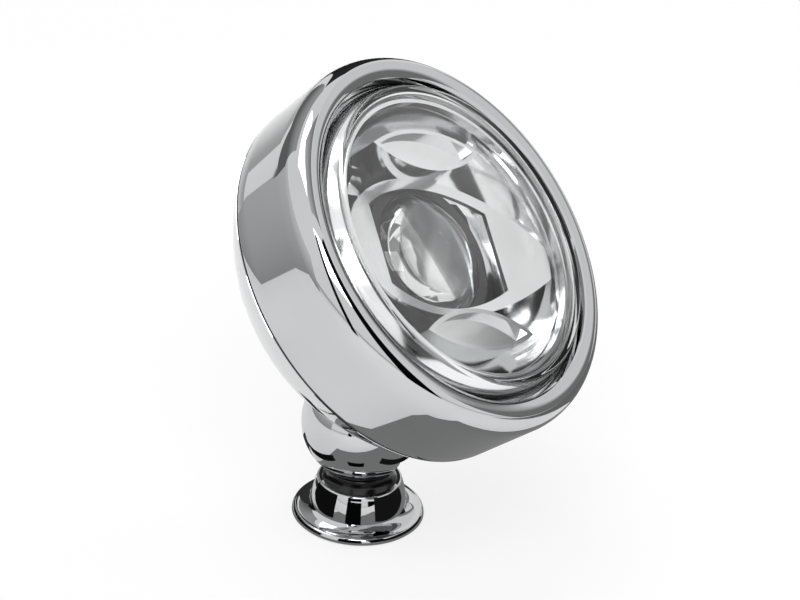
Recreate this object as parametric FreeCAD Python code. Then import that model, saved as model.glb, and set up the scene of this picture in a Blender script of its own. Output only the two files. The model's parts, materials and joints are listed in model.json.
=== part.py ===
import FreeCAD, Part
import math
import os

# Driving light on a ball swivel. Millimetres and degrees.
# World frame: origin at the centre of the foot's underside, +Z up, the lamp faces -Y.
# Lamp frame: origin at the centre of the bezel's widest circle, Z forward along the beam, Y up.

V = FreeCAD.Vector
X_AXIS = V(1, 0, 0)
Z_AXIS = V(0, 0, 1)
ORIGIN = V(0, 0, 0)

# Pose and place of the lamp head
rest_tilt = 43.4            # beam above level, as stored
tilt_up = 5.0               # further nose-up travel
ball_height = 39.4          # ball centre above the mounting plane
ball_behind = 75.6          # ball centre behind the bezel's widest circle
ball_below = 39.4           # ball centre below the beam axis

# Fits
joint_gap = 0.3             # between pieces that turn on each other
slip_gap = 0.1              # radial room of a piece that is put in by hand
screw_gap = 0.2             # radial room of a screw in a through hole
thread_gap = 0.05           # radial room of a screw in its tapped hole

# Bezel ring
bezel_front_r = 72.5
bezel_taper = 2.0           # rear edge inside the widest circle
bezel_depth = 27.8          # from the widest circle back to the rear edge
bezel_wall = 1.3
nose_height = 8.7           # crest of the nose ahead of the widest circle
nose_width = 5.7            # crest inside the widest circle
mouth_width = 4.5           # mouth edge inside the crest
mouth_drop = 1.4            # mouth edge below the crest
lip_depth = 2.7             # turned-in lip behind the mouth edge

# Front lens and its gasket
gasket_t = 1.6
lens_flange_gap = 3.2       # flange inside the bezel at its widest
lens_flange_t = 2.4
lens_wall = 2.6
lens_gap = 0.9              # between lens wall and bezel mouth
lens_slope = 5.3            # edge of the domed face inside the foot of the wall
lens_rise = 8.5             # rim above the flange
lens_dome = 3.5             # crown of the face above the rim
lens_corner = 1.9           # rounding between wall and face

# Light mask
mask_t = 1.6
mask_gap = 1.0              # between mask and lens wall
mask_crest_in = 2.7         # crest inside the edge of the lens face
mask_crest_rise = 6.2       # crest above the mask flange's face
ridge_w = 1.4               # flat top of the crest
floor_drop = 20.6           # dish floor below the crest
floor_r = 38.0
mask_clock = 28.0           # the mask is turned about the beam axis
wing_r = 182.0              # the wing is bent to this radius
wing_drop = 12.0            # middle of the wing below the crest
wing_half = 51.0
wing_end_top = 11.0
wing_end_bottom = -1.0
wing_top = 25.2
wing_bottom = -28.0
window_half = 30.0
window_side = 15.0
window_top = 22.4
window_bottom = -24.0
tray_half = 27.0
tray_side = 35.5
tray_outer = 42.5
tray_inner = 26.6
tray_drop = 2.0             # rim of a tray below the crest
tray_depth = 3.0
tray_room = 3.0             # trays stay this far ahead of the projector lens's seat

# Projector module
optic_r = 23.5
optic_dome = 11.0
optic_flange_r = 26.0
optic_flange_t = 2.6
optic_set = 3.3             # lens seat behind the middle of the wing
barrel_wall = 1.7
barrel_lip = 0.8
sleeve_wall = 1.4
holder_r = 39.0
holder_depth = 10.4
holder_flange_t = 3.0
mirror_mouth_r = 24.0
reflector_t = 1.5
reflector_depth = 30.0
neck_r = 16.0
neck_hole_r = 6.0
module_screw_pitch_r = 35.2
module_screw_r = 1.5
module_screw_bite = 1.1     # into the mask's floor
module_screw_angles = (90, 210, 330)

# Bulb
capsule_r = 5.0
capsule_length = 19.0
bulb_flange_r = 9.0
bulb_flange_t = 1.6
plug_r = 6.6
plug_length = 3.4
clip_t = 0.7
clip_half = 14.5
clip_half_w = 8.4
connector_r = 8.0
connector_t = 3.0

# Rear bowl and seal
seal_t = 0.8
bowl_rim_step = 0.3         # rim inside the bezel's rear edge
bowl_depth = 41.0
bowl_wall = 1.2
spigot_gap = 1.3            # spigot inside the bezel's rear edge
spigot_length = 11.0

# Clips, screws and nuts of the bezel
clip_spread = 12.0          # angle that one lens clip covers
clip_leg = 13.0
lens_clip_t = 0.8
lens_clip_reach = 5.2
lens_clip_angles = (20, 110, 200, 290)
bezel_screw_angles = (80, 280)
bezel_screw_back = 21.5     # behind the widest circle
bezel_screw_r = 1.7
bezel_head_r = 3.2
bezel_head_t = 1.6
bezel_nut_half = 4.0
bezel_nut_t = 2.2

# Cable inlet
gland_angle = 26.0          # from the bowl's pole, upwards
gland_bore_r = 2.6
gland_bore_depth = 8.0      # down to the sealing membrane
gland_thread_r = 5.0
gland_flange_r = 8.0
gland_flange_t = 3.0
gland_cap_r = 6.4
gland_cap_t = 7.0
gland_nut_r = 8.4
gland_nut_t = 3.6

# Swivel ball
ball_r = 22.6
ball_wall = 5.6
ball_mouth_r = 11.4
ball_screw_pitch_r = 13.2
ball_screw_count = 4
ball_screw_start = 45.0     # angle of the first screw
ball_screw_r = 1.4
ball_screw_bite = 4.2
ball_screw_head_r = 2.6
ball_screw_head_t = 1.6

# Stud, saddle and nut
stud_r = 6.0
stud_flange_r = 10.0
stud_flange_t = 3.2
mount_tap_r = 3.4           # tapping size of an M8 thread
mount_tap_depth = 17.6
guide_r = 11.0
guide_rise = 5.6            # saddle's flat top above its lowest point
key_half = 7.6              # the saddle's key along the slot
key_depth = 2.4
washer_r = 10.6
washer_t = 1.4
spring_t = 1.8
spring_r = 9.6
spring_split = 24.0
nut_flats = 18.0
nut_t = 6.0
stud_proud = 1.6

# Foot and seat
foot_r = 24.6
foot_edge = 1.4             # rounding of the flange's edge
flange_t = 2.8
bell_foot_r = 18.2
bell_foot_z = 5.2
bell_top_z = 15.6
bell_top_r = 15.0
bell_edge = 0.8             # rounding of the bell's rim
socket_r = 14.1
socket_floor = 9.4
seat_waist_r = 13.0
seat_top_r = 13.3
seat_bore_r = 7.4
stud_recess_gap = 0.4


# Radii that several pieces share
bezel_rear_r = bezel_front_r - bezel_taper
nose_crest_r = bezel_front_r - nose_width
bezel_mouth_r = nose_crest_r - mouth_width
lens_flange_r = bezel_front_r - bezel_wall - lens_flange_gap
lens_foot_r = bezel_mouth_r - lens_gap
lens_rim_r = lens_foot_r - lens_slope
mask_crest_r = lens_rim_r - mask_crest_in
bowl_rim_r = bezel_rear_r - bowl_rim_step
spigot_r = bezel_rear_r - bezel_wall - spigot_gap

# Places along the beam axis that several pieces share
lip_s = nose_height - mouth_drop - lip_depth
lens_front_s = lip_s - gasket_t
lens_back_s = lens_front_s - lens_flange_t
mask_back_s = lens_back_s - mask_t
crest_s = lens_back_s + mask_crest_rise
floor_s = crest_s - floor_drop
module_s = floor_s - mask_t
optic_s = crest_s - wing_drop - optic_set
barrel_seat_r = optic_flange_r + slip_gap
barrel_r = barrel_seat_r + barrel_wall
reflector_s = module_s - holder_depth
neck_s = reflector_s - reflector_t - reflector_depth
bulb_s = neck_s - reflector_t
clip_s = bulb_s - bulb_flange_t
shoulder_s = -bezel_depth - seal_t
bowl_sphere_r = (bowl_rim_r ** 2 + bowl_depth ** 2) / (2 * bowl_depth)
bowl_centre_s = shoulder_s - bowl_depth + bowl_sphere_r
ball_inner_r = ball_r - ball_wall
slot_half = stud_r + 2 * joint_gap
seat_r = socket_r - slip_gap

# Frames
beam_turn = FreeCAD.Rotation(X_AXIS, 90 - rest_tilt)
ball_centre = V(0, 0, ball_height)
lamp_origin = ball_centre - beam_turn.multVec(V(0, -ball_below, -ball_behind))
lamp_frame = FreeCAD.Placement(lamp_origin, beam_turn)
bowl_centre = lamp_frame.multVec(V(0, 0, bowl_centre_s))
boss_reach = (bowl_centre - ball_centre).Length
boss_frame = FreeCAD.Placement(
    ball_centre, FreeCAD.Rotation(Z_AXIS, bowl_centre - ball_centre)
)
mask_turn = FreeCAD.Placement(ORIGIN, FreeCAD.Rotation(Z_AXIS, -mask_clock))


def placed(shape, frame):
    """The shape, moved from its own frame into the frame given."""
    return shape.transformed(frame.toMatrix(), True)


def outline(start, *steps):
    """A closed face in the XZ plane. A step is a point, or (middle, end) of an arc."""
    def point(p):
        return V(p[0], 0, p[1])

    edges = []
    here = start
    for step in steps + (start,):
        if isinstance(step[0], tuple):
            middle, end = step
            edges.append(Part.Arc(point(here), point(middle), point(end)).toShape())
        else:
            end = step
            if math.dist(here, end) < 1e-6:
                continue
            edges.append(Part.LineSegment(point(here), point(end)).toShape())
        here = end
    return Part.Face(Part.Wire(edges))


def turned(start, *steps):
    """A solid of revolution about Z from an outline of (radius, height) points."""
    return outline(start, *steps).revolve(ORIGIN, Z_AXIS, 360)


def prism(start, *steps, low, high):
    """An outline of (x, y) points, raised along Z from low to high."""
    face = outline(start, *steps)
    face.rotate(ORIGIN, X_AXIS, -90)
    flat = face.mirror(ORIGIN, V(0, 1, 0))
    flat.translate(V(0, 0, low))
    return flat.extrude(V(0, 0, high - low))


def bulge(a, b, rise):
    """The middle of an arc from a to b that stands off its chord to the left by rise."""
    length = math.dist(a, b)
    left = (-(b[1] - a[1]) / length, (b[0] - a[0]) / length)
    return ((a[0] + b[0]) / 2 + left[0] * rise, (a[1] + b[1]) / 2 + left[1] * rise)


def quarter(centre, width, height):
    """The middle of a quarter ellipse about a centre."""
    half = math.sqrt(0.5)
    return (centre[0] + width * half, centre[1] + height * half)


def crown(edge_r, edge_s, rise):
    """The middle of a shallow dome's arc between its edge and its pole."""
    sphere = (edge_r ** 2 + rise ** 2) / (2 * rise)
    return (edge_r / 2, edge_s + rise - sphere + math.sqrt(sphere ** 2 - edge_r ** 2 / 4))


def rod(radius, low, high):
    return Part.makeCylinder(radius, high - low, V(0, 0, low))


def tube(inner, outer, low, high):
    return rod(outer, low, high).cut(rod(inner, low, high))


def hexagon(flats, low, high):
    corner = flats / math.sqrt(3)
    points = [
        V(corner * math.cos(math.radians(60 * i)), corner * math.sin(math.radians(60 * i)), low)
        for i in range(7)
    ]
    return Part.Face(Part.makePolygon(points)).extrude(V(0, 0, high - low))


def around(shape, angles):
    """Copies of a shape, turned about Z to each angle."""
    copies = []
    for angle in angles:
        copy = shape.copy()
        copy.rotate(ORIGIN, Z_AXIS, angle)
        copies.append(copy)
    return copies


def pan_screw(radius, length, head_r, head_t):
    """A screw with its seat at the origin, its shank along -Z and a domed head above."""
    rim = head_t * 0.4
    return turned(
        (0, -length),
        (radius, -length),
        (radius, 0),
        (head_r, 0),
        (head_r, rim),
        (crown(head_r, rim, head_t - rim), (0, head_t)),
    )


# Bezel, lens and seals


def bezel_ring():
    crest = (nose_crest_r, nose_height)
    mouth = (bezel_mouth_r, nose_height - mouth_drop)
    inner_crest = (nose_crest_r, nose_height - bezel_wall)
    inner_mouth = (bezel_mouth_r + bezel_wall, mouth[1] - bezel_wall / 2)
    centre = (nose_crest_r, 0)
    width = bezel_front_r - nose_crest_r
    ring = turned(
        (bezel_rear_r, -bezel_depth),
        (bezel_front_r, 0),
        (quarter(centre, width, nose_height), crest),
        (bulge(crest, mouth, -mouth_drop * 0.4), mouth),
        (bezel_mouth_r, lip_s),
        (bezel_mouth_r + bezel_wall, lip_s),
        inner_mouth,
        (bulge(inner_mouth, inner_crest, mouth_drop * 0.2), inner_crest),
        (quarter(centre, width - bezel_wall, nose_height - bezel_wall), (bezel_front_r - bezel_wall, 0)),
        (bezel_rear_r - bezel_wall, -bezel_depth),
    )
    for hole in bezel_screw_rods(bezel_screw_r + screw_gap):
        ring = ring.cut(hole)
    return ring


def bezel_outer_r(back):
    """Outer radius of the band at a distance behind the widest circle."""
    return bezel_front_r - (bezel_front_r - bezel_rear_r) * back / bezel_depth


def across_band(shape):
    """Copies of a shape made along +Z, laid radially at the bezel's screws."""
    shape.rotate(ORIGIN, V(0, 1, 0), 90)
    shape.translate(V(0, 0, -bezel_screw_back))
    return around(shape, bezel_screw_angles)


def bezel_screw_rods(radius):
    inside = spigot_r - bowl_wall - bezel_nut_t
    return across_band(rod(radius, inside, bezel_front_r))


def bezel_seat_r():
    """Radius at which a screw head clears the tapered band."""
    return bezel_outer_r(bezel_screw_back - bezel_head_r)


def bezel_screws():
    seat = bezel_seat_r()
    length = seat - (spigot_r - bowl_wall - bezel_nut_t)
    screw = pan_screw(bezel_screw_r, length, bezel_head_r, bezel_head_t)
    screw.translate(V(0, 0, seat))
    return Part.Compound(across_band(screw))


def bezel_nuts():
    wall_r = spigot_r - bowl_wall
    face = math.sqrt(wall_r ** 2 - bezel_nut_half ** 2)
    side = 2 * bezel_nut_half
    nut = Part.makeBox(side, side, bezel_nut_t, V(-bezel_nut_half, -bezel_nut_half, face - bezel_nut_t))
    nut = nut.cut(rod(bezel_screw_r + thread_gap, face - bezel_nut_t, face))
    return Part.Compound(across_band(nut))


def lens_gasket():
    return tube(bezel_mouth_r, lens_flange_r, lens_front_s, lip_s)


def front_lens():
    rim_s = lens_front_s + lens_rise
    rim = (lens_rim_r, rim_s)
    wall_top = (lens_rim_r + lens_corner, rim_s - lens_corner * 0.7)
    inner_rim = (lens_rim_r - lens_wall, rim_s - lens_wall)
    inner_top = (wall_top[0] - lens_wall, wall_top[1] - lens_wall * 0.8)
    return turned(
        (0, rim_s + lens_dome),
        (crown(lens_rim_r, rim_s, lens_dome), rim),
        (bulge(rim, wall_top, lens_corner * 0.22), wall_top),
        (lens_foot_r, lens_front_s),
        (lens_flange_r, lens_front_s),
        (lens_flange_r, lens_back_s),
        (lens_foot_r - lens_wall, lens_back_s),
        inner_top,
        (bulge(inner_top, inner_rim, -lens_corner * 0.1), inner_rim),
        (crown(inner_rim[0], inner_rim[1], lens_dome), (0, inner_rim[1] + lens_dome)),
    )


def lens_clips():
    def inner_r(s):
        return bezel_outer_r(-s) - bezel_wall

    heel = mask_back_s
    end = heel - clip_leg
    profile = outline(
        (lens_flange_r - lens_clip_reach, heel),
        (inner_r(heel), heel),
        (inner_r(end), end),
        (inner_r(end) - lens_clip_t, end),
        (inner_r(heel) - lens_clip_t, heel - lens_clip_t),
        (lens_flange_r - lens_clip_reach, heel - lens_clip_t),
    )
    clip = profile.revolve(ORIGIN, Z_AXIS, clip_spread)
    return Part.Compound(around(clip, lens_clip_angles))


def housing_seal():
    return tube(spigot_r, bowl_rim_r, shoulder_s, -bezel_depth)


# Light mask


def dish_front():
    """Arc points of the dish's face, from the crest down to the floor."""
    top = (mask_crest_r - ridge_w, crest_s)
    low = (floor_r, floor_s)
    return top, bulge(top, low, floor_drop * 0.16), low


def mask_dish():
    top, middle, low = dish_front()
    foot_r = lens_foot_r - lens_wall - mask_gap
    hole_r = barrel_r + slip_gap
    under_top = (top[0] - mask_t * 0.3, top[1] - mask_t * 1.6)
    under_low = (low[0] + mask_t * 0.2, floor_s - mask_t)
    return turned(
        (lens_flange_r, lens_back_s),
        (foot_r, lens_back_s),
        (mask_crest_r, crest_s),
        top,
        (middle, low),
        (hole_r, floor_s),
        (hole_r, floor_s - mask_t),
        under_low,
        (bulge(under_low, under_top, -floor_drop * 0.16), under_top),
        (foot_r - mask_t * 1.2, mask_back_s),
        (lens_flange_r, mask_back_s),
    )


def ahead_of_dish():
    """The space in front of the dish's face, below its crest."""
    top, middle, low = dish_front()
    return turned((0, crest_s), top, (middle, low), (0, floor_s))


def eye(half, end_top, end_bottom, top, bottom, low, high):
    """An eye-shaped prism: two arcs between straight ends."""
    return prism(
        (-half, end_bottom),
        ((0, bottom), (half, end_bottom)),
        (half, end_top),
        ((0, top), (-half, end_top)),
        low=low,
        high=high,
    )


def bent_plate(thickness):
    """A plate that is hollow towards the front, bent about the mask's Y axis."""
    middle_s = crest_s - wing_drop
    axis_s = middle_s + wing_r
    shell = Part.makeCylinder(wing_r + thickness, 4 * bezel_front_r, ORIGIN, V(0, 1, 0))
    shell = shell.cut(Part.makeCylinder(wing_r, 4 * bezel_front_r, ORIGIN, V(0, 1, 0)))
    shell.translate(V(0, -2 * bezel_front_r, axis_s))
    return shell


def wing():
    low, high = floor_s, crest_s
    body = eye(wing_half, wing_end_top, wing_end_bottom, wing_top, wing_bottom, low, high)
    body = body.common(bent_plate(mask_t))
    opening = eye(window_half, window_side, -window_side, window_top, window_bottom, low, high)
    return body.cut(opening)


def crescent(inset, low, high):
    """The plan of a tray, drawn in by an inset."""
    corner = (tray_half - 2 * inset, tray_side)
    return prism(
        (-corner[0], corner[1]),
        ((0, tray_inner + inset), corner),
        ((0, tray_outer - inset), (-corner[0], corner[1])),
        low=low,
        high=high,
    )


def tray():
    rim = crest_s - tray_drop
    floor = rim - tray_depth
    body = crescent(0, floor_s, rim)
    body = body.cut(crescent(mask_t, floor, rim))
    body = body.cut(crescent(mask_t, floor_s, floor - mask_t))
    return body.cut(rod(barrel_r + joint_gap, floor_s, optic_s + tray_room))


def light_mask():
    insert = tray()
    other = insert.copy()
    other.rotate(ORIGIN, Z_AXIS, 180)
    space = ahead_of_dish()
    mask = mask_dish()
    for piece in (wing(), insert, other):
        mask = mask.fuse(piece.common(space))
    for hole in module_holes(module_screw_r + thread_gap, module_s + module_screw_bite):
        mask = mask.cut(hole)
    return placed(mask.removeSplitter(), mask_turn)


# Projector module


def module_holes(radius, end_s):
    hole = rod(radius, reflector_s - reflector_t, end_s)
    hole.translate(V(module_screw_pitch_r, 0, 0))
    return around(hole, module_screw_angles)


def projector_lens():
    back_s = optic_s - optic_flange_t
    return turned(
        (0, optic_s + optic_dome),
        (crown(optic_r, optic_s, optic_dome), (optic_r, optic_s)),
        (optic_flange_r, optic_s),
        (optic_flange_r, back_s),
        (0, back_s),
    )


def lens_sleeve():
    return tube(optic_flange_r - sleeve_wall, optic_flange_r, reflector_s, optic_s - optic_flange_t)


def lens_holder():
    lip_r = optic_r + joint_gap
    lip_front_s = optic_s + barrel_lip
    ring = turned(
        (lip_r, lip_front_s),
        (barrel_r, lip_front_s),
        (barrel_r, module_s),
        (holder_r, module_s),
        (holder_r, module_s - holder_flange_t),
        (barrel_r, module_s - holder_flange_t),
        (barrel_r, reflector_s + holder_flange_t),
        (holder_r, reflector_s + holder_flange_t),
        (holder_r, reflector_s),
        (barrel_seat_r, reflector_s),
        (barrel_seat_r, optic_s),
        (lip_r, optic_s),
    )
    for hole in module_holes(module_screw_r + screw_gap, module_s):
        ring = ring.cut(hole)
    return placed(ring, mask_turn)


def projector_reflector():
    rim_s = reflector_s - reflector_t
    inner = mirror_mouth_r
    outer = inner + reflector_t
    neck_top = neck_s
    shell = turned(
        (holder_r, reflector_s),
        (inner, reflector_s),
        (quarter((neck_hole_r, reflector_s), inner - neck_hole_r, neck_top - reflector_s),
         (neck_hole_r, neck_top)),
        (neck_hole_r, bulb_s),
        (neck_r, bulb_s),
        (neck_r, bulb_s + reflector_t),
        (quarter((neck_r, rim_s), outer - neck_r, bulb_s + reflector_t - rim_s), (outer, rim_s)),
        (holder_r, rim_s),
    )
    for hole in module_holes(module_screw_r + screw_gap, reflector_s):
        shell = shell.cut(hole)
    return placed(shell, mask_turn)


def module_screws():
    seat = reflector_s - reflector_t
    length = module_s + module_screw_bite - seat
    screw = pan_screw(module_screw_r, length, module_screw_r * 1.9, module_screw_r * 1.2)
    screw.rotate(ORIGIN, X_AXIS, 180)
    screw.translate(V(module_screw_pitch_r, 0, seat))
    return placed(Part.Compound(around(screw, module_screw_angles)), mask_turn)


def bulb():
    tip = bulb_s + capsule_length
    return turned(
        (0, clip_s - plug_length),
        (plug_r, clip_s - plug_length),
        (plug_r, clip_s),
        (bulb_flange_r, clip_s),
        (bulb_flange_r, bulb_s),
        (capsule_r, bulb_s),
        (capsule_r, tip - capsule_r),
        (quarter((0, tip - capsule_r), capsule_r, capsule_r), (0, tip)),
    )


def bulb_clip():
    low = clip_s - clip_t
    strip = Part.makeBox(2 * clip_half, 2 * clip_half_w, clip_t, V(-clip_half, -clip_half_w, low))
    strip = strip.cut(rod(plug_r + slip_gap, low, clip_s))
    for side in (-1, 1):
        x = side * (clip_half - clip_t / 2) - clip_t / 2
        leg = Part.makeBox(clip_t, 2 * clip_half_w, bulb_s - low, V(x, -clip_half_w, low))
        strip = strip.fuse(leg)
    return strip.removeSplitter()


def bulb_connector():
    top = clip_s - plug_length
    block = rod(connector_r, top - connector_t, top)
    groove = V(-connector_r, -connector_r / 4, top - connector_t)
    return block.cut(Part.makeBox(2 * connector_r, connector_r / 2, connector_t / 2, groove))


# Rear bowl and cable inlet


def rear_bowl():
    pole = shoulder_s - bowl_depth
    inner_sphere = bowl_sphere_r - bowl_wall
    inner_r = spigot_r - bowl_wall

    def on_sphere(radius, sphere):
        return (radius, bowl_centre_s - math.sqrt(sphere ** 2 - radius ** 2))

    inner_edge = on_sphere(inner_r, inner_sphere)
    shell = turned(
        (spigot_r, shoulder_s + spigot_length),
        (spigot_r, shoulder_s),
        (bowl_rim_r, shoulder_s),
        (on_sphere(bowl_rim_r / 2, bowl_sphere_r), (0, pole)),
        (0, pole + bowl_wall),
        (on_sphere(inner_r / 2, inner_sphere), inner_edge),
        (inner_r, shoulder_s + spigot_length),
    )
    for hole in bezel_screw_rods(bezel_screw_r + screw_gap):
        shell = shell.cut(hole)
    shell = shell.cut(placed(rod(gland_thread_r + slip_gap, -2 * bowl_wall, bowl_wall), gland_frame()))
    shell = placed(shell, lamp_frame)
    for hole in ball_screw_rods(ball_screw_r + screw_gap, ball_screw_seat() + bowl_wall):
        shell = shell.cut(hole)
    return shell


def gland_frame():
    """Frame on the bowl's outside, Z outwards."""
    turn = FreeCAD.Rotation(X_AXIS, 180 + gland_angle)
    out = turn.multVec(Z_AXIS)
    return FreeCAD.Placement(V(0, 0, bowl_centre_s) + out * bowl_sphere_r, turn)


def cable_gland():
    nut_low = -bowl_wall - gland_nut_lift() - gland_nut_t
    cap_top = gland_flange_t + gland_cap_t
    body = turned(
        (0, nut_low),
        (gland_thread_r, nut_low),
        (gland_thread_r, 0),
        (gland_flange_r, 0),
        (gland_flange_r, gland_flange_t),
        (gland_cap_r, gland_flange_t),
        (quarter((gland_bore_r, gland_flange_t), gland_cap_r - gland_bore_r, gland_cap_t),
         (gland_bore_r, cap_top)),
        (gland_bore_r, cap_top - gland_bore_depth),
        (0, cap_top - gland_bore_depth),
    )
    return placed(body, gland_frame())


def gland_nut_lift():
    """Room of the flat nut over the hollow inside of the bowl."""
    inside = bowl_sphere_r - bowl_wall
    corner = 2 * gland_nut_r / math.sqrt(3)
    return inside - math.sqrt(inside ** 2 - corner ** 2)


def gland_nut():
    top = -bowl_wall - gland_nut_lift()
    nut = hexagon(2 * gland_nut_r, top - gland_nut_t, top)
    nut = nut.cut(rod(gland_thread_r + thread_gap, top - gland_nut_t, top))
    return placed(nut, gland_frame())


# Ball swivel


def ball_screw_seat():
    """Height over the ball centre, along the boss, of the bowl's inside at the screws."""
    inside = bowl_sphere_r - bowl_wall
    reach = ball_screw_pitch_r - ball_screw_head_r
    return boss_reach - math.sqrt(inside ** 2 - reach ** 2) + thread_gap


def bowl_skin_at(radius):
    """Height over the ball centre, along the boss, of the bowl's outside at a radius."""
    return boss_reach - math.sqrt(bowl_sphere_r ** 2 - radius ** 2)


def boss_copies(shape):
    shape.translate(V(ball_screw_pitch_r, 0, 0))
    turns = [ball_screw_start + 360 * i / ball_screw_count for i in range(ball_screw_count)]
    return [placed(copy, boss_frame) for copy in around(shape, turns)]


def ball_screw_rods(radius, top):
    low = bowl_skin_at(ball_screw_pitch_r) - ball_screw_bite
    return boss_copies(rod(radius, low, top))


def ball_screws():
    seat = boss_reach - math.sqrt(
        (bowl_sphere_r - bowl_wall) ** 2 - (ball_screw_pitch_r + ball_screw_head_r) ** 2
    )
    length = seat - bowl_skin_at(ball_screw_pitch_r) + ball_screw_bite - thread_gap
    screw = pan_screw(ball_screw_r, length, ball_screw_head_r, ball_screw_head_t)
    screw.translate(V(0, 0, seat))
    return Part.Compound(boss_copies(screw))


def slot_cutter(low_r, high_r, half, back, front):
    """A sector about the tilt axis, from an angle behind straight down to one in front."""
    face = outline((-half, -high_r), (half, -high_r), (half, -low_r), (-half, -low_r))
    face.rotate(ORIGIN, X_AXIS, -front)
    return face.revolve(ORIGIN, X_AXIS, back + front)


def swivel_ball():
    key_angle = math.degrees(math.asin((key_half + joint_gap) / (ball_inner_r - joint_gap)))
    ball = Part.makeSphere(ball_r).cut(Part.makeSphere(ball_inner_r))
    ball = ball.cut(slot_cutter(
        ball_inner_r / 2, ball_r + joint_gap, slot_half, tilt_up + key_angle, rest_tilt + key_angle
    ))
    ball.translate(ball_centre)
    ball = ball.cut(Part.makeSphere(bowl_sphere_r, bowl_centre))
    ball = ball.cut(placed(rod(ball_mouth_r, 0, ball_r), boss_frame))
    for hole in ball_screw_rods(ball_screw_r + thread_gap, boss_reach):
        ball = ball.cut(hole)
    return ball


def guide_bottom_z():
    return ball_height - ball_inner_r + joint_gap


def guide_top_z():
    return guide_bottom_z() + guide_rise


def ball_guide():
    face_r = ball_inner_r - joint_gap
    bore_r = stud_r + joint_gap
    top = guide_top_z()

    def on_ball(radius):
        return (radius, ball_height - math.sqrt(face_r ** 2 - radius ** 2))

    saddle = turned(
        (bore_r, top),
        on_ball(bore_r),
        (on_ball((bore_r + guide_r) / 2), on_ball(guide_r)),
        (guide_r, top),
    )
    key_x = slot_half - joint_gap
    key_low = guide_bottom_z() - key_depth
    key_high = guide_bottom_z() + guide_rise / 2
    key = Part.makeBox(2 * key_x, 2 * key_half, key_high - key_low, V(-key_x, -key_half, key_low))
    return saddle.fuse(key.cut(rod(bore_r, key_low, key_high))).removeSplitter()


def washer_base_z():
    return guide_top_z() + joint_gap


def nut_base_z():
    return washer_base_z() + washer_t + spring_t


def flat_washer():
    low = washer_base_z()
    return tube(stud_r + slip_gap, washer_r, low, low + washer_t)


def spring_washer():
    low = washer_base_z() + washer_t
    ring = tube(stud_r + slip_gap, spring_r, low, low + spring_t)
    gap = Part.makeBox(spring_r, spring_t, spring_t * 3, V(stud_r - spring_t, -spring_t / 2, -spring_t))
    gap.rotate(ORIGIN, X_AXIS, spring_split)
    gap.translate(V(0, 0, low))
    return ring.cut(gap)


def stud_nut():
    low = nut_base_z()
    nut = hexagon(nut_flats, low, low + nut_t)
    return nut.cut(rod(stud_r + thread_gap, low, low + nut_t))


def hollow_stud():
    top = nut_base_z() + nut_t + stud_proud
    return turned(
        (mount_tap_r, 0),
        (stud_flange_r, 0),
        (stud_flange_r, stud_flange_t),
        (stud_r, stud_flange_t),
        (stud_r, top),
        (0, top),
        (0, mount_tap_depth),
        (mount_tap_r, mount_tap_depth),
    )


# Foot and rubber seat


def foot():
    recess_r = stud_flange_r + stud_recess_gap
    edge_low = (foot_r, foot_edge / 2)
    edge_top = (foot_r - foot_edge, flange_t)
    bell_foot = (bell_foot_r, bell_foot_z)
    shoulder = (bell_top_r + bell_edge, bell_top_z - bell_edge)
    rim = (bell_top_r, bell_top_z)
    bore = stud_r + thread_gap
    return turned(
        (recess_r, 0),
        (foot_r - foot_edge / 2, 0),
        edge_low,
        (quarter((foot_r - foot_edge, edge_low[1]), foot_edge, flange_t - edge_low[1]), edge_top),
        (bulge(edge_top, bell_foot, foot_edge * 0.4), bell_foot),
        (bulge(bell_foot, shoulder, -bell_edge / 4), shoulder),
        (quarter((bell_top_r, shoulder[1]), bell_edge, bell_edge), rim),
        (socket_r, bell_top_z),
        (socket_r, socket_floor),
        (bore, socket_floor),
        (bore, stud_flange_t),
        (recess_r, stud_flange_t),
    )


def swivel_seat():
    cup = ball_r + joint_gap

    def under_ball(radius):
        return (radius, ball_height - math.sqrt(cup ** 2 - radius ** 2))

    waist_z = (bell_top_z + under_ball(seat_top_r)[1]) / 2
    middle_r = (seat_bore_r + seat_top_r) / 2
    return turned(
        (seat_bore_r, socket_floor),
        (seat_r, socket_floor),
        (seat_r, bell_top_z),
        ((seat_waist_r, waist_z), under_ball(seat_top_r)),
        (under_ball(middle_r), under_ball(seat_bore_r)),
    )


HEAD_PIECES = (
    bezel_ring, bezel_screws, bezel_nuts, lens_gasket, front_lens, lens_clips, housing_seal,
    light_mask, projector_lens, lens_sleeve, lens_holder, projector_reflector, module_screws,
    bulb, bulb_clip, bulb_connector, cable_gland, gland_nut,
)
WORLD_PIECES = (
    rear_bowl, swivel_ball, ball_screws, ball_guide, flat_washer, spring_washer, stud_nut,
    hollow_stud, foot, swivel_seat,
)


def main():
    os.makedirs("parts", exist_ok=True)
    solids = {piece.__name__: placed(piece(), lamp_frame) for piece in HEAD_PIECES}
    solids.update({piece.__name__: piece() for piece in WORLD_PIECES})
    for name, shape in solids.items():
        shape.exportStep(f"parts/{name}.step")
        print(name, "valid" if shape.isValid() else "INVALID", len(shape.Solids), round(shape.Volume, 1))


main()
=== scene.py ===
# %% [markdown]
# # A chromed driving light on a ball swivel
# The lamp is a pressed bezel, a clear cup-shaped lens, a bright mask with a projector behind it, a shallow
# bowl at the back, and a ball that turns on a small bell-shaped foot. The solids are loaded first and stay
# where they are: every visible skin below is modelled over one of them, at the same size.

# %% Load the frame
import json
import math

import bpy
from mathutils import Matrix, Vector

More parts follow.
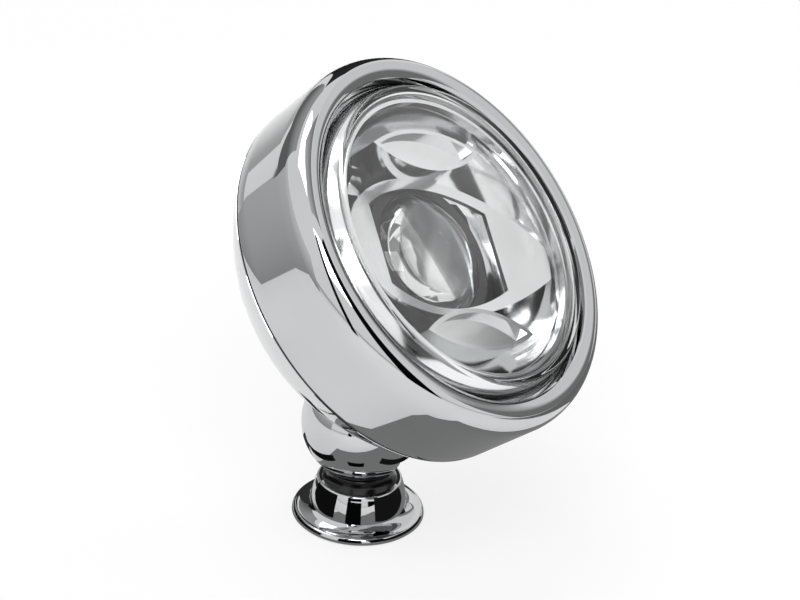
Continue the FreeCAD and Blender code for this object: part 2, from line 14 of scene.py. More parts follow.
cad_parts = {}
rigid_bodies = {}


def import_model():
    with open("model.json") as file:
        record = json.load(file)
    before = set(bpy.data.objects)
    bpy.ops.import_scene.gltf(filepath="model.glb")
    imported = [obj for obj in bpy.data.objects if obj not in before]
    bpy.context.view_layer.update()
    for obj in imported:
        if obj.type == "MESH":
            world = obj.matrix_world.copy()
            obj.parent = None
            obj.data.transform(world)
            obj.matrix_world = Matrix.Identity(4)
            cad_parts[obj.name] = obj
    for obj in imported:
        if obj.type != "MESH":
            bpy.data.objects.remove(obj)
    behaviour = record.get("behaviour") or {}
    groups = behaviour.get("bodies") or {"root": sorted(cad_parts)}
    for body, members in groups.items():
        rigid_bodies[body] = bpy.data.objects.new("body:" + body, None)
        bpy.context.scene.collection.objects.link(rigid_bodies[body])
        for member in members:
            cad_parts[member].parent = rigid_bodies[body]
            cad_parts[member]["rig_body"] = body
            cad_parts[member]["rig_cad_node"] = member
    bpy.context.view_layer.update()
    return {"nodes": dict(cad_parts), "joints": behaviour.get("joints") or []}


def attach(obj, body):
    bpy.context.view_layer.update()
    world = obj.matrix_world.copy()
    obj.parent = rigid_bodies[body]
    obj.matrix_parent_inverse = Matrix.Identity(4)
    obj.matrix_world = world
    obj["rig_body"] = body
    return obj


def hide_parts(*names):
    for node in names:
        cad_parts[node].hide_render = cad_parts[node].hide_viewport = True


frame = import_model()
bpy.ops.object.select_all(action="DESELECT")
print("solids loaded:", len(frame["nodes"]))

# %% [markdown]
# ## The lamp's own axes
# The beam points up at the angle by which the head can still tilt down to level, so the tilt joint
# gives it. Every turned piece of the head is drawn as radius and height along the beam, in
# millimetres, and these axes put it in place.

# %% Axes of the head and the foot
MM = 0.001
tilt = next(joint for joint in frame["joints"] if joint["name"] == "tilt")
beam_angle = math.radians(-tilt["range_deg"][0])
ball_centre = Vector(tilt["pos_m"])
across = Vector((1, 0, 0))
beam = Vector((0, -math.cos(beam_angle), math.sin(beam_angle)))
lamp_up = Vector((0, math.sin(beam_angle), math.cos(beam_angle)))
ball_behind = 75.6
ball_below = 39.4
lamp_centre = ball_centre + (beam * ball_behind + lamp_up * ball_below) * MM
head_axis = (lamp_centre, across, beam)
foot_axis = (Vector((0, 0, 0)), across, Vector((0, 0, 1)))
print("beam rises", round(math.degrees(beam_angle), 1), "degrees")
print("lamp centre", [round(c, 4) for c in lamp_centre])

# %% [markdown]
# ## Camera
# The picture looks down on the lamp from the front, on its -X side. A long lens keeps the circles
# nearly elliptical. The roll turns the camera a little about its own view, as in the photograph.

# %% Camera
camera_azimuth = math.radians(-62.54)
camera_elevation = math.radians(28.53)
camera_roll = math.radians(3.46)
camera_distance = 1200.0
target_right = 15.77
target_up = 78.63
focal_px = 3217.39
image_px = 800
sensor_mm = 36.0

back = Vector((
    math.sin(camera_azimuth) * math.cos(camera_elevation),
    -math.cos(camera_azimuth) * math.cos(camera_elevation),
    math.sin(camera_elevation),
))
level_right = Vector((math.cos(camera_azimuth), math.sin(camera_azimuth), 0))
level_up = back.cross(level_right)
view_right = level_right * math.cos(camera_roll) + level_up * math.sin(camera_roll)
view_up = level_up * math.cos(camera_roll) - level_right * math.sin(camera_roll)
eye = (view_right * target_right + view_up * target_up + back * camera_distance) * MM

bpy.ops.object.camera_add()
camera = bpy.context.object
camera.name = "studio_camera"
turn = Matrix((view_right, view_up, back)).transposed().to_4x4()
camera.matrix_world = Matrix.Translation(eye) @ turn
camera.data.sensor_width = sensor_mm
camera.data.lens = focal_px * sensor_mm / image_px
bpy.context.scene.camera = camera
print("camera lens", round(camera.data.lens, 1), "mm")

# %% [markdown]
# ## Turned pieces
# Bezel, both lenses, bowl, gland, foot and rubber seat are round, so a lathe makes them: one vertex
# is extruded along the section, and the section is spun about its axis. Round stretches of a
# section are worked out as arcs.

# %% Lathe helpers
DOUBLES_MM = 0.002
SHARP_DEGREES = 32


def arc(a, b, rise, count):
    """Points after a, up to b, on an arc that stands off its chord to the left by rise."""
    chord = math.dist(a, b)
    left = (-(b[1] - a[1]) / chord, (b[0] - a[0]) / chord)
    radius = (chord * chord / 4 + rise * rise) / (2 * rise)
    centre = (
        (a[0] + b[0]) / 2 + left[0] * (rise - radius),
        (a[1] + b[1]) / 2 + left[1] * (rise - radius),
    )
    first = math.atan2(a[1] - centre[1], a[0] - centre[0])
    last = math.atan2(b[1] - centre[1], b[0] - centre[0])
    sweep = (last - first + math.pi) % (2 * math.pi) - math.pi
    size = abs(radius)
    angles = [first + sweep * i / count for i in range(1, count + 1)]
    return [(centre[0] + size * math.cos(t), centre[1] + size * math.sin(t)) for t in angles]


def quarter(centre, a, b, count):
    """Points after a, up to b, on a quarter ellipse about a centre."""
    start = [a[k] - centre[k] for k in (0, 1)]
    end = [b[k] - centre[k] for k in (0, 1)]
    turns = [math.pi / 2 * i / count for i in range(1, count + 1)]
    return [
        tuple(centre[k] + start[k] * math.cos(t) + end[k] * math.sin(t) for k in (0, 1))
        for t in turns
    ]


def dome(edge_r, edge_s, rise, count=18):
    """Points from the edge of a shallow dome to its pole."""
    sphere = (edge_r ** 2 + rise ** 2) / (2 * rise)
    radii = [edge_r * (1 - i / count) for i in range(count + 1)]
    return [(r, edge_s + rise - sphere + math.sqrt(sphere ** 2 - r ** 2)) for r in radii]


def merge_and_smooth(piece, sharp_degrees=SHARP_DEGREES):
    """Merges doubles, turns the faces outwards and shades smooth up to an angle."""
    bpy.ops.object.select_all(action="DESELECT")
    bpy.context.view_layer.objects.active = piece
    piece.select_set(True)
    bpy.ops.object.mode_set(mode="EDIT")
    bpy.ops.mesh.select_all(action="SELECT")
    bpy.ops.mesh.remove_doubles(threshold=DOUBLES_MM * MM)
    bpy.ops.mesh.normals_make_consistent(inside=False)
    bpy.ops.object.mode_set(mode="OBJECT")
    bpy.ops.object.shade_smooth_by_angle(angle=math.radians(sharp_degrees))


def turned(name, axis, section, steps):
    """A piece spun from a section of (radius, height) points in millimetres about an axis."""
    centre, outwards, along = axis
    spots = [centre + (outwards * r + along * h) * MM for r, h in section]
    bpy.ops.object.select_all(action="DESELECT")
    bpy.ops.mesh.primitive_plane_add(size=MM)
    piece = bpy.context.object
    piece.name = name
    bpy.ops.object.mode_set(mode="EDIT")
    bpy.ops.mesh.select_mode(type="VERT")
    bpy.ops.mesh.select_all(action="SELECT")
    bpy.ops.mesh.merge(type="CENTER")
    bpy.ops.transform.translate(value=spots[0])
    for here, there in zip(spots, spots[1:]):
        bpy.ops.mesh.extrude_region_move(TRANSFORM_OT_translate={"value": there - here})
    bpy.ops.mesh.select_all(action="SELECT")
    bpy.ops.mesh.spin(steps=steps, angle=2 * math.pi, center=centre, axis=along)
    bpy.ops.object.mode_set(mode="OBJECT")
    merge_and_smooth(piece)
    return piece


def dress(piece, body, slot, material, *nodes):
    """Gives a piece its finish and its body, and hides the solids that it stands for. The slot is not used.
    """
    piece.data.materials.clear()
    piece.data.materials.append(material)
    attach(piece, body)
    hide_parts(*nodes)
    print(piece.name, "has", len(piece.data.polygons), "faces")


# %% [markdown]
# ## Colours and nodes
# Colours are written as sRGB hex values and turned to linear by one function. One small function
# adds a node with its settings and links, so each finish reads as a short list of steps.

# %% Colour and node helpers
def linear(code):
    """Linear RGBA from an sRGB hex value."""
    shares = [int(code[i:i + 2], 16) / 255 for i in (1, 3, 5)]
    return tuple(c / 12.92 if c <= 0.04045 else ((c + 0.055) / 1.055) ** 2.4 for c in shares) + (1.0,)


def add(tree, kind, links=(), **settings):
    """Adds a node. Settings name its properties or inputs; links are (input, node, output)."""
    node = tree.nodes.new(kind)
    for key, value in settings.items():
        label = key.replace("_", " ").title()
        if hasattr(node, key):
            setattr(node, key, value)
        else:
            node.inputs[label].default_value = value
    for target, source, output in links:
        tree.links.new(source.outputs[output], node.inputs[target])
    return node


def new_material(name):
    """An empty node material with its Principled shader and its output."""
    material = bpy.data.materials.new(name)
    material.use_nodes = True
    tree = material.node_tree
    return material, tree, tree.nodes["Principled BSDF"]


def per_metre(size_mm):
    """Scale of a texture whose features are this many millimetres wide."""
    return 1 / (size_mm * MM)


MIX_A, MIX_B, MIX_RESULT = 6, 7, 2  # colour sockets of a mix node
SHADER_INPUT = {
    "metallic": "Metallic", "transmission": "Transmission Weight",
    "ior": "IOR", "specular": "Specular IOR Level",
}


def mottled(name, dark, light, rough_low, rough_high, spot_mm, relief_mm, **shader_settings):
    """A finish with soft mottling: colour, roughness and relief follow one noise of a real spot size."""
    material, tree, shader = new_material(name)
    place = add(tree, "ShaderNodeTexCoord")
    noise = add(tree, "ShaderNodeTexNoise", [("Vector", place, "Object")],
                scale=per_metre(spot_mm), detail=4.0)
    colour = add(tree, "ShaderNodeMix", [("Factor", noise, "Fac")], data_type="RGBA")
    colour.inputs[MIX_A].default_value = linear(dark)
    colour.inputs[MIX_B].default_value = linear(light)
    rough = add(tree, "ShaderNodeMapRange", [("Value", noise, "Fac")],
                to_min=rough_low, to_max=rough_high)
    bump = add(tree, "ShaderNodeBump", [("Height", noise, "Fac")], distance=relief_mm * MM, strength=1.0)
    tree.links.new(colour.outputs[MIX_RESULT], shader.inputs["Base Color"])
    tree.links.new(rough.outputs["Result"], shader.inputs["Roughness"])
    tree.links.new(bump.outputs["Normal"], shader.inputs["Normal"])
    for key, value in shader_settings.items():
        shader.inputs[SHADER_INPUT[key]].default_value = value
    return material


# %% [markdown]
# ## Finishes
# Chrome on pressed steel is a nearly perfect mirror with a slight waviness from the press. The mask
# is plastic that was metallised in vacuum, a little softer than chrome. The lens is clear moulded
# plastic, the projector lens is pressed glass. Rubber, zinc-plated steel and black plastic sit
# behind and below.

# %% Make the finishes
chrome = mottled("chrome_plate", "#C0C1C2", "#CACBCC", 0.02, 0.05, 30, 0.004, metallic=1.0)
mirror_coat = mottled("vacuum_metallised_plastic", "#ECEDEE", "#F4F5F5", 0.08, 0.14, 12, 0.006,
                      metallic=1.0)
clear_plastic = mottled("clear_polycarbonate", "#FBFCFC", "#FFFFFF", 0.0, 0.008, 25, 0.002,
                        transmission=1.0, ior=1.5)
optic_glass = mottled("pressed_optic_glass", "#F6F8F8", "#FFFFFF", 0.0, 0.01, 20, 0.002,
                      transmission=1.0, ior=1.52)
quartz = mottled("quartz_glass", "#F4F6F6", "#FFFFFF", 0.0, 0.02, 6, 0.002, transmission=1.0, ior=1.46)
rubber = mottled("moulded_black_rubber", "#060606", "#0E0E0E", 0.14, 0.26, 2.5, 0.02)
black_plastic = mottled("black_moulded_plastic", "#131313", "#1C1C1C", 0.35, 0.5, 1.6, 0.03)
# Painted shade: this matt black only darkens the well behind the mask's window.
well_painted_shade = mottled("painted_shade_well_black", "#040404", "#090909", 0.8, 0.95, 1.2, 0.01, specular=0.1)
zinc_steel = mottled("zinc_plated_steel", "#A9ACAE", "#C2C4C6", 0.22, 0.38, 3.0, 0.02, metallic=1.0)
FINISH = {
    "chrome": chrome, "mirror_coat": mirror_coat, "clear_lens": clear_plastic, "optic_glass": optic_glass,
    "bulb_quartz": quartz, "black_rubber": rubber, "black_plastic": black_plastic, "zinc_steel": zinc_steel,
}
print("finishes:", ", ".join(sorted(FINISH)))

# %% [markdown]
# ## Solids that stay as they are
# Nuts, washers, clips, seals and the inner carriers have the right shape already, so they keep their
# own meshes and only take a finish. Solids that get a skin further down take theirs here too.

# %% Finish the solids
NODE_SLOT = {
    "chrome": ["bezel_ring", "rear_bowl", "swivel_ball", "foot"],
    "clear_lens": ["front_lens"],
    "optic_glass": ["projector_lens"],
    "mirror_coat": ["light_mask", "projector_reflector"],
    "black_rubber": ["lens_gasket", "housing_seal", "swivel_seat", "cable_gland"],
    "zinc_steel": [
        "bezel_screws", "bezel_nuts", "lens_clips", "module_screws", "bulb_clip", "ball_screws",
        "flat_washer", "spring_washer", "stud_nut", "hollow_stud", "lens_sleeve", "ball_guide",
    ],
    "black_plastic": ["lens_holder", "bulb_connector", "gland_nut"],
    "bulb_quartz": ["bulb"],
}
for slot_name, node_names in NODE_SLOT.items():
    for node_name in node_names:
        mesh = frame["nodes"][node_name].data
        mesh.materials.clear()
        mesh.materials.append(FINISH[slot_name])
print("solids with a finish:", sum(len(names) for names in NODE_SLOT.values()))

# %% [markdown]
# ## Bezel ring
# The bezel is one pressed steel ring: a slightly tapered band, a rounded nose and a lip that turns
# in towards the lens. Reflections run along its whole length, so it needs a dense, even mesh. A spun
# section gives that.

# %% Bezel ring
bezel_front_r = 72.5
bezel_rear_r = 70.5
bezel_depth = 27.8
bezel_wall = 1.3
edge_round = 0.35
edge_rise = edge_round / 4
crest_rise = 0.25
nose_height = 8.7
nose_crest_r = 66.8
mouth_r = 62.3
mouth_s = 7.3
lip_s = 4.6

nose_centre = (nose_crest_r, 0)
widest = (bezel_front_r, 0)
crest = (nose_crest_r, nose_height)
inner_mouth = (mouth_r + bezel_wall, mouth_s - bezel_wall / 2)
inner_crest = (nose_crest_r, nose_height - bezel_wall)
inner_widest = (bezel_front_r - bezel_wall, 0)
rear_outer = (bezel_rear_r, -bezel_depth + edge_round)
rear_edge = (bezel_rear_r - edge_round, -bezel_depth)
band_steps = 6
band = [
    (rear_outer[0] + (widest[0] - rear_outer[0]) * i / band_steps,
     rear_outer[1] + (widest[1] - rear_outer[1]) * i / band_steps)
    for i in range(1, band_steps + 1)
]
bezel_section = [rear_edge, *arc(rear_edge, rear_outer, -edge_rise, 4), *band]
bezel_section += quarter(nose_centre, widest, crest, 20)
nose_fall = 4.4
nose_reach = 6.15
nose_low = (nose_crest_r, nose_height - nose_fall)
last_turn = math.asin((nose_crest_r - mouth_r) / nose_reach)
nose_steps = 12
nose_turns = [last_turn * i / nose_steps for i in range(1, nose_steps + 1)]
bezel_section += [
    (nose_low[0] - nose_reach * math.sin(t), nose_low[1] + nose_fall * math.cos(t))
    for t in nose_turns
]
bezel_section += [(mouth_r, lip_s), (mouth_r + bezel_wall, lip_s), inner_mouth]
bezel_section += arc(inner_mouth, inner_crest, crest_rise, 6)
bezel_section += quarter(nose_centre, inner_crest, inner_widest, 12)
bezel_section += [(bezel_rear_r - bezel_wall, -bezel_depth), rear_edge]
bezel = turned("bezel_skin", head_axis, bezel_section, 240)
dress(bezel, "head", "chrome", chrome, "bezel_ring")

# %% [markdown]
# ## Front lens
# The lens is a clear cup: a flange behind the bezel lip, a sloping wall, a rounded corner and a face
# that is only slightly domed. It has a real wall, inside and outside, so that light bends twice on
# its way through.

# %% Front lens
flange_r = 68.0
flange_front_s = 3.0
flange_back_s = 0.6
lens_wall = 2.6
lens_gap = 0.9
rim_r = 56.1
rim_s = 11.5
lens_dome = 3.5
lens_corner = 1.9
corner_drop = lens_corner * 0.7
corner_rise = lens_corner * 0.22
inner_drop = lens_wall * 0.8
inner_rise = lens_corner * 0.1

lens_foot_r = mouth_r - lens_gap
wall_top = (rim_r + lens_corner, rim_s - corner_drop)
inner_rim = (rim_r - lens_wall, rim_s - lens_wall)
inner_top = (wall_top[0] - lens_wall, wall_top[1] - inner_drop)
outer_face = dome(rim_r, rim_s, lens_dome)
inner_face = dome(inner_rim[0], inner_rim[1], lens_dome)
lens_section = list(reversed(outer_face))
lens_section += arc(outer_face[0], wall_top, corner_rise, 8)
lens_section += [(lens_foot_r, flange_front_s), (flange_r, flange_front_s), (flange_r, flange_back_s)]
lens_section += [(lens_foot_r - lens_wall, flange_back_s), inner_top]
lens_section += arc(inner_top, inner_rim, -inner_rise, 6)
lens_section += inner_face[1:]
lens = turned("front_lens_cup", head_axis, lens_section, 200)
dress(lens, "head", "clear_lens", clear_plastic, "front_lens")

# %% [markdown]
# ## Projector lens
# Behind the window sits a thick glass lens with a strong crown. It bends what lies behind it, which
# makes the dark and bright halves that one sees.

# %% Projector lens
optic_s = -8.5
optic_r = 23.5
optic_dome = 11.0
optic_flange_r = 26.0
optic_flange_t = 2.6
optic_back_s = optic_s - optic_flange_t
optic_section = list(reversed(dome(optic_r, optic_s, optic_dome, 24)))
optic_section += [(optic_flange_r, optic_s), (optic_flange_r, optic_back_s), (0, optic_back_s)]
optic = turned("projector_optic", head_axis, optic_section, 120)
dress(optic, "head", "optic_glass", optic_glass, "projector_lens")

# %% [markdown]
# ## Light mask
# The mask is one moulding: a dish, an eye-shaped wing with a window, and two crescent trays. Its solid
# has the right shape but hard facets. A merged copy with smooth shading keeps the shape and lets the
# metal flow.

# %% Light mask
def smooth_copy(node_name, piece_name, sharp_degrees):
    """A merged, smoothly shaded copy of a solid's mesh, free of the solid's own parent and marks."""
    bpy.ops.object.select_all(action="DESELECT")
    node = frame["nodes"][node_name]
    node.select_set(True)
    bpy.context.view_layer.objects.active = node
    bpy.ops.object.duplicate()
    piece = bpy.context.object
    piece.name = piece_name
    piece.data.name = piece_name
    bpy.ops.object.parent_clear(type="CLEAR_KEEP_TRANSFORM")
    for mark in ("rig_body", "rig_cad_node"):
        del piece[mark]
    if piece.data.has_custom_normals:
        bpy.ops.mesh.customdata_custom_splitnormals_clear()
    merge_and_smooth(piece, sharp_degrees)
    return piece


inner_sharp_degrees = 28
mask = smooth_copy("light_mask", "light_mask_skin", inner_sharp_degrees)
dress(mask, "head", "mirror_coat", mirror_coat, "light_mask")

# %% [markdown]
# ## Painted shade in the well of the mask
# Behind the window the floor of the mask is given a matt black as painted shade, so that the deep well
# reads dark. Four straight cuts part this field from the rest of the floor, and its faces then take the
# painted shade.

# %% Painted shade in the well
floor_s = -13.8
level_room = 0.05
facing_share = 0.9
mask_clock = math.radians(28)
mask_across = across * math.cos(mask_clock) - lamp_up * math.sin(mask_clock)
mask_up = lamp_up * math.cos(mask_clock) + across * math.sin(mask_clock)
well_half = 33.0
well_top = 24.0
well_bottom = -26.0


def mask_spot(face):
    """A face's centre as (across, up, forward) on the mask, in millimetres."""
    spot = (face.center - lamp_centre) / MM
    return spot.dot(mask_across), spot.dot(mask_up), spot.dot(beam)


def select_floor():
    """Selects the faces that lie on the mask's floor, and goes to edit mode."""
    bpy.ops.object.mode_set(mode="OBJECT")
    for face in mask.data.polygons:
        level = abs(mask_spot(face)[2] - floor_s) < level_room
        face.select = level and face.normal.dot(beam) > facing_share
    bpy.ops.object.mode_set(mode="EDIT")


bpy.ops.object.mode_set(mode="EDIT")
bpy.ops.mesh.select_all(action="DESELECT")
select_floor()
bpy.ops.mesh.select_mode(type="FACE")
cuts = (
    (mask_across, well_half), (mask_across, -well_half), (mask_up, well_top), (mask_up, well_bottom),
)
for direction, distance in cuts:
    bpy.ops.mesh.bisect(plane_co=lamp_centre + direction * distance * MM, plane_no=direction)
    select_floor()
bpy.ops.object.mode_set(mode="OBJECT")
# Painted shade: the well's floor faces take a matt black that stands in for the shade in the deep well.
mask.data.materials.append(well_painted_shade)
floor_faces = [face for face in mask.data.polygons if face.select]
for face in floor_faces:
    side, height, _ = mask_spot(face)
    if abs(side) < well_half and well_bottom < height < well_top:
        face.material_index = 1
print("floor of the mask:", len(floor_faces), "faces")

# %% [markdown]
# ## Reflector
# The reflector behind the projector lens is metallised like the mask, and is copied in the same way.

# %% Reflector
reflector = smooth_copy("projector_reflector", "reflector_skin", inner_sharp_degrees)
dress(reflector, "head", "mirror_coat", mirror_coat, "projector_reflector")

# %% [markdown]
# ## Rear bowl
# The bowl is pressed from sheet to a spherical cap, with a straight spigot that enters the bezel. From
# the photograph's side only its edge shows, and from behind it is the largest mirror on the lamp.

# %% Rear bowl
bowl_rim_r = 70.2
shoulder_s = -28.6
bowl_depth = 41.0
bowl_wall = 1.2
spigot_r = 67.9
spigot_length = 11.0
bowl_sphere_r = (bowl_rim_r ** 2 + bowl_depth ** 2) / (2 * bowl_depth)
bowl_centre_s = shoulder_s - bowl_depth + bowl_sphere_r
bowl_centre = lamp_centre + beam * bowl_centre_s * MM


def bowl_points(sphere, edge, count=28):
    """Points of a spherical section from its edge to its pole."""
    radii = [edge * (1 - i / count) for i in range(count + 1)]
    return [(r, bowl_centre_s - math.sqrt(sphere ** 2 - r ** 2)) for r in radii]


spigot_in = spigot_r - bowl_wall
bowl_section = [(spigot_r, shoulder_s + spigot_length), (spigot_r, shoulder_s)]
bowl_section += [(bowl_rim_r - edge_round, shoulder_s), (bowl_rim_r, shoulder_s - edge_round)]
bowl_section += bowl_points(bowl_sphere_r, bowl_rim_r)[1:]
bowl_section += list(reversed(bowl_points(bowl_sphere_r - bowl_wall, spigot_in)))
bowl_section += [(spigot_in, shoulder_s + spigot_length), (spigot_r, shoulder_s + spigot_length)]
bowl = turned("rear_bowl_skin", head_axis, bowl_section, 200)
dress(bowl, "head", "chrome", chrome, "rear_bowl")

# %% [markdown]
# ## Cable inlet
# A rubber gland closes the hole through which a cable enters the bowl. It is round about its own axis,
# which stands square on the bowl, so the same lathe makes it. A shallow groove runs round its flange.

# %% Cable gland
gland_angle = math.radians(26)
gland_out = lamp_up * math.sin(gland_angle) - beam * math.cos(gland_angle)
gland_axis = (bowl_centre + gland_out * bowl_sphere_r * MM, across, gland_out)
gland_thread_r = 5.0
gland_low = -6.0
gland_flange_r = 8.0
gland_flange_t = 3.0
gland_cap_r = 6.4
gland_top = 10.0
gland_bore_r = 2.6
gland_bore_depth = 8.0
gland_edge = 0.4
groove_low = 1.2
groove_middle = 1.5
groove_high = 1.8
groove_depth = 0.35
cap_foot = (gland_cap_r, gland_flange_t)
cap_curve = quarter((gland_bore_r, gland_flange_t), cap_foot, (gland_bore_r, gland_top), 16)
gland_section = [(0, gland_low), (gland_thread_r, gland_low), (gland_thread_r, 0)]
gland_section += [(gland_flange_r - gland_edge, 0), (gland_flange_r, gland_edge)]
gland_section += [(gland_flange_r, groove_low), (gland_flange_r - groove_depth, groove_middle)]
gland_section += [(gland_flange_r, groove_high), (gland_flange_r, gland_flange_t - gland_edge)]
gland_section += [(gland_flange_r - gland_edge, gland_flange_t), cap_foot, *cap_curve]
gland_section += [(gland_bore_r, gland_top - gland_bore_depth), (0, gland_top - gland_bore_depth)]
gland = turned("cable_gland_skin", gland_axis, gland_section, 72)
dress(gland, "head", "black_rubber", rubber, "cable_gland")

# %% [markdown]
# ## Small hardware
# The bezel screws and the stud under the foot can be seen from outside, so they get smooth copies.

# %% Small hardware
outer_sharp_degrees = 30
for hardware, body in (("bezel_screws", "head"), ("hollow_stud", "base")):
    copy = smooth_copy(hardware, hardware + "_skin", outer_sharp_degrees)
    dress(copy, body, "zinc_steel", zinc_steel, hardware)

# %% [markdown]
# ## Swivel ball
# The ball is a thick hollow sphere, faced to the bowl and slotted below for the stud. Its solid has the
# right shape already, so a smooth copy is enough.

# %% Swivel ball
ball = smooth_copy("swivel_ball", "swivel_ball_skin", outer_sharp_degrees)
dress(ball, "head", "chrome", chrome, "swivel_ball")

# %% [markdown]
# ## Foot and rubber seat
# The foot is a turned bell with a round flange. The rubber seat stands in its socket and cups the ball, and
# only a narrow black collar of it shows.

# %% Foot and seat
foot_flange_r = 24.6
foot_edge = 1.4
flange_t = 2.8
bell_foot = (18.2, 5.2)
bell_rim = (15.0, 15.6)
bell_edge = 0.8
bell_bulge = bell_edge / 4
flare_rise = foot_edge * 0.4
bell_shoulder = (bell_rim[0] + bell_edge, bell_rim[1] - bell_edge)
socket_r = 14.1
socket_floor = 9.4
recess_r = 10.4
recess_top = 3.2
stud_bore_r = 6.05
edge_low = (foot_flange_r, foot_edge / 2)
edge_top = (foot_flange_r - foot_edge, flange_t)
foot_section = [(recess_r, 0), (foot_flange_r - foot_edge / 2, 0), edge_low]
foot_section += quarter((edge_top[0], edge_low[1]), edge_low, edge_top, 8)
foot_section += arc(edge_top, bell_foot, flare_rise, 10)
foot_section += arc(bell_foot, bell_shoulder, -bell_bulge, 10)
foot_section += quarter((bell_rim[0], bell_shoulder[1]), bell_shoulder, bell_rim, 8)
foot_section += [(socket_r, bell_rim[1]), (socket_r, socket_floor), (stud_bore_r, socket_floor)]
foot_section += [(stud_bore_r, recess_top), (recess_r, recess_top), (recess_r, 0)]
foot = turned("foot_skin", foot_axis, foot_section, 160)
dress(foot, "base", "chrome", chrome, "foot")

ball_r = 22.6
seat_clearance = 0.3
seat_r = 14.0
seat_top_r = 13.3
seat_waist_r = 13.0
seat_bore_r = 7.4
cup_r = ball_r + seat_clearance
ball_height = ball_centre.z / MM


def under_ball(radius):
    """The point of the seat's cup at a radius."""
    return (radius, ball_height - math.sqrt(cup_r ** 2 - radius ** 2))


cup_steps = 10
seat_low = (seat_r, bell_rim[1])
seat_top = under_ball(seat_top_r)
seat_section = [(seat_bore_r, socket_floor), (seat_r, socket_floor), seat_low]
seat_section += arc(seat_low, seat_top, (seat_r + seat_top_r) / 2 - seat_waist_r, 10)
seat_section += [
    under_ball(seat_top_r + (seat_bore_r - seat_top_r) * i / cup_steps)
    for i in range(1, cup_steps + 1)
]
seat_section += [(seat_bore_r, socket_floor)]
seat = turned("rubber_seat", foot_axis, seat_section, 120)
dress(seat, "base", "black_rubber", rubber, "swivel_seat")

# %% [markdown]
# ## Stage
# A pale floor and a white world stand in for the white studio. Camera, mirror and glass rays see the
# world white, and the other rays see a softer level. The floor glows a little for the camera, and
# more with its distance from the lamp, so it keeps a soft shadow and fades into the white.

# %% Floor, world and lights
def white_background(tree, level):
    """A strength that is 1 for camera, mirror and glass rays, and a softer level for the rest."""
    path = add(tree, "ShaderNodeLightPath")
    seen = add(tree, "ShaderNodeMath", operation="MAXIMUM")
    tree.links.new(path.outputs["Is Camera Ray"], seen.inputs[0])
    tree.links.new(path.outputs["Is Glossy Ray"], seen.inputs[1])
    both = add(tree, "ShaderNodeMath", operation="MAXIMUM")
    tree.links.new(seen.outputs[0], both.inputs[0])
    tree.links.new(path.outputs["Is Transmission Ray"], both.inputs[1])
    return add(tree, "ShaderNodeMapRange", [("Value", both, 0)], to_min=level, to_max=1.0)


ambient_level = 0.55
world = bpy.data.worlds.new("studio_world")
bpy.context.scene.world = world
world.use_nodes = True
backdrop = world.node_tree.nodes["Background"]
backdrop.inputs["Color"].default_value = linear("#FFFFFF")
strength = white_background(world.node_tree, ambient_level)
world.node_tree.links.new(strength.outputs["Result"], backdrop.inputs["Strength"])

floor_size = 12.0
shadow_reach = 0.25
floor_fade = 0.9
floor_glow = 0.75
bpy.ops.mesh.primitive_plane_add(size=floor_size)
floor = bpy.context.object
floor.name = "studio_floor"
floor_paper, tree, shader = new_material("white_paper_floor")
shader.inputs["Base Color"].default_value = linear("#F2F2F2")
shader.inputs["Roughness"].default_value = 0.9
shader.inputs["Specular IOR Level"].default_value = 0.0
glow = add(tree, "ShaderNodeEmission", strength=1.0)
place = add(tree, "ShaderNodeTexCoord")
reach = add(tree, "ShaderNodeVectorMath", [(0, place, "Object")], operation="LENGTH")
share = add(tree, "ShaderNodeMapRange", [("Value", reach, "Value")],
            from_min=shadow_reach, from_max=floor_fade, to_min=floor_glow, to_max=1.0)
path = add(tree, "ShaderNodeLightPath")
seen = add(tree, "ShaderNodeMath", [(0, path, "Is Camera Ray"), (1, share, "Result")],
           operation="MULTIPLY")
blend = add(tree, "ShaderNodeMixShader",
            [(0, seen, "Value"), (1, shader, "BSDF"), (2, glow, "Emission")])
tree.links.new(blend.outputs["Shader"], tree.nodes["Material Output"].inputs["Surface"])
floor.data.materials.append(floor_paper)


def softbox(name, place, target, width, height, watts):
    """A rectangular lamp that faces a point."""
    bpy.ops.object.light_add(type="AREA")
    lamp = bpy.context.object
    lamp.name = name
    lamp.data.shape = "RECTANGLE"
    lamp.data.size = width
    lamp.data.size_y = height
    lamp.data.energy = watts
    lamp.location = place
    lamp.rotation_mode = "QUATERNION"
    lamp.rotation_quaternion = (Vector(place) - Vector(target)).to_track_quat("Z", "Y")


heart = (0, -0.01, 0.09)
softbox("key_softbox", (-0.9, -0.5, 1.3), heart, 0.9, 0.7, 12)
softbox("fill_softbox", (1.2, -0.9, 0.9), heart, 0.8, 0.8, 6)
softbox("top_softbox", (0.1, 0.5, 1.6), heart, 1.0, 1.0, 8)
bpy.context.scene.view_settings.view_transform = "Standard"
print("stage set")

# %% [markdown]
# ## Cards
# Chrome has hardly a colour of its own: it shows what stands around it. A studio puts dark and grey
# cards beside the lamp, out of the picture, and they draw the dark lines that make the metal read as
# metal. Here only mirror and glass rays see the cards. Sizes are in metres.

# %% Cards around the lamp
card_distance = 0.7
floor_card_lift = 0.0004
foot_card_height = 0.014
foot_card_distance = 0.034


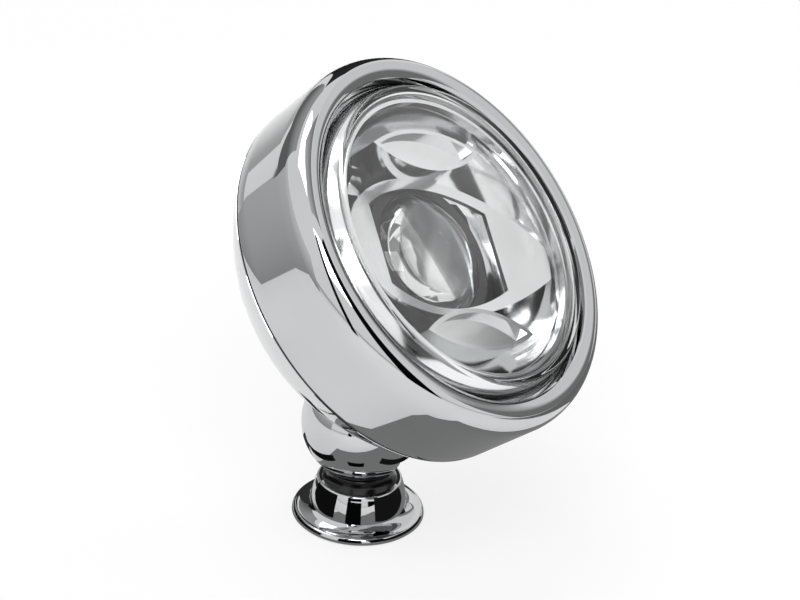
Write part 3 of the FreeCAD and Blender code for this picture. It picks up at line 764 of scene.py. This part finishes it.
def card(name, direction, width, height, low_grey, high_grey, fade=0.5):
    """A card that faces the lamp from a direction, shaded upwards over a share of its height."""
    bpy.ops.object.select_all(action="DESELECT")
    away = Vector(direction).normalized()
    bpy.ops.mesh.primitive_plane_add(size=1)
    panel = bpy.context.object
    panel.name = name
    panel.scale = (width, height, 1)
    panel.rotation_mode = "QUATERNION"
    panel.rotation_quaternion = away.to_track_quat("Z", "Y")
    panel.location = Vector(heart) + away * card_distance
    paper, tree, shader = new_material(name + "_paper")
    place = add(tree, "ShaderNodeTexCoord")
    parts = add(tree, "ShaderNodeSeparateXYZ", [("Vector", place, "Object")])
    climb = add(tree, "ShaderNodeMapRange", [("Value", parts, "Y")],
                from_min=-fade / 2, from_max=fade / 2)
    shade = add(tree, "ShaderNodeMix", [("Factor", climb, "Result")], data_type="RGBA")
    shade.inputs[MIX_A].default_value = linear(low_grey)
    shade.inputs[MIX_B].default_value = linear(high_grey)
    shader.inputs["Base Color"].default_value = linear("#000000")
    shader.inputs["Specular IOR Level"].default_value = 0.0
    tree.links.new(shade.outputs[MIX_RESULT], shader.inputs["Emission Color"])
    shader.inputs["Emission Strength"].default_value = 1.0
    panel.data.materials.append(paper)
    panel.visible_camera = False
    panel.visible_diffuse = False
    panel.visible_shadow = False
    print(name, low_grey, high_grey)
    return panel


def floor_card(name, place, width, length, heading, grey):
    """A card that lies on the floor, turned about the vertical by a heading in degrees."""
    panel = card(name, (0, 0, -1), width, length, grey, grey)
    panel.rotation_mode = "XYZ"
    panel.rotation_euler = (0, 0, math.radians(heading))
    panel.location = (place[0], place[1], floor_card_lift)


def foot_card(name, heading, width, grey):
    """A low card that stands on the floor beside the foot, where little else mirrors it."""
    away = Vector((math.cos(math.radians(heading)), math.sin(math.radians(heading)), 0))
    panel = card(name, away, width, foot_card_height, grey, grey)
    middle = Vector((0, 0, floor_card_lift + foot_card_height / 2))
    panel.location = away * foot_card_distance + middle


card("card_back_left", (-0.46, 0.88, 0.03), 0.9, 0.5, "#8E8E8E", "#E0E0E0", 0.8)
card("card_by_camera", (-0.42, -0.85, 0.40), 0.36, 1.2, "#080808", "#101010")
card("card_front_right", (0.80, -0.5, 0.375), 0.9, 0.9, "#868686", "#F4F4F4", 0.08)
card("card_right_low", (0.95, -0.29, 0.06), 0.36, 0.24, "#E6E6E6", "#F4F4F4")
card("card_right", (0.86, 0.5, 0.12), 0.26, 0.9, "#181818", "#303030")
card("card_left_strip", (-0.90, -0.10, 0.42), 0.09, 0.9, "#101010", "#181818")
card("card_behind", (0.35, 0.85, 0.45), 0.5, 0.5, "#707070", "#B0B0B0")
card("card_over", (0.1, -0.1, 1.0), 0.45, 0.45, "#9A9A9A", "#C8C8C8")
foot_card("foot_card_centre", 201, 0.016, "#0A0A0A")
foot_card("foot_card_left", 131, 0.044, "#141414")
foot_card("foot_card_right", 278, 0.052, "#1C1C1C")
foot_card("foot_card_behind", 50, 0.070, "#3A3A3A")
# Painted shadow: a grey sheet under the lamp that mirrors in band, ball and foot as the shaded floor round
# the foot.
floor_card("painted_shadow_card_under", (0.01, -0.035), 0.17, 0.13, 8, "#8C8C8C")
floor_card("floor_card_right", (0.37, -0.21), 0.54, 0.68, 0, "#7A7A7A")
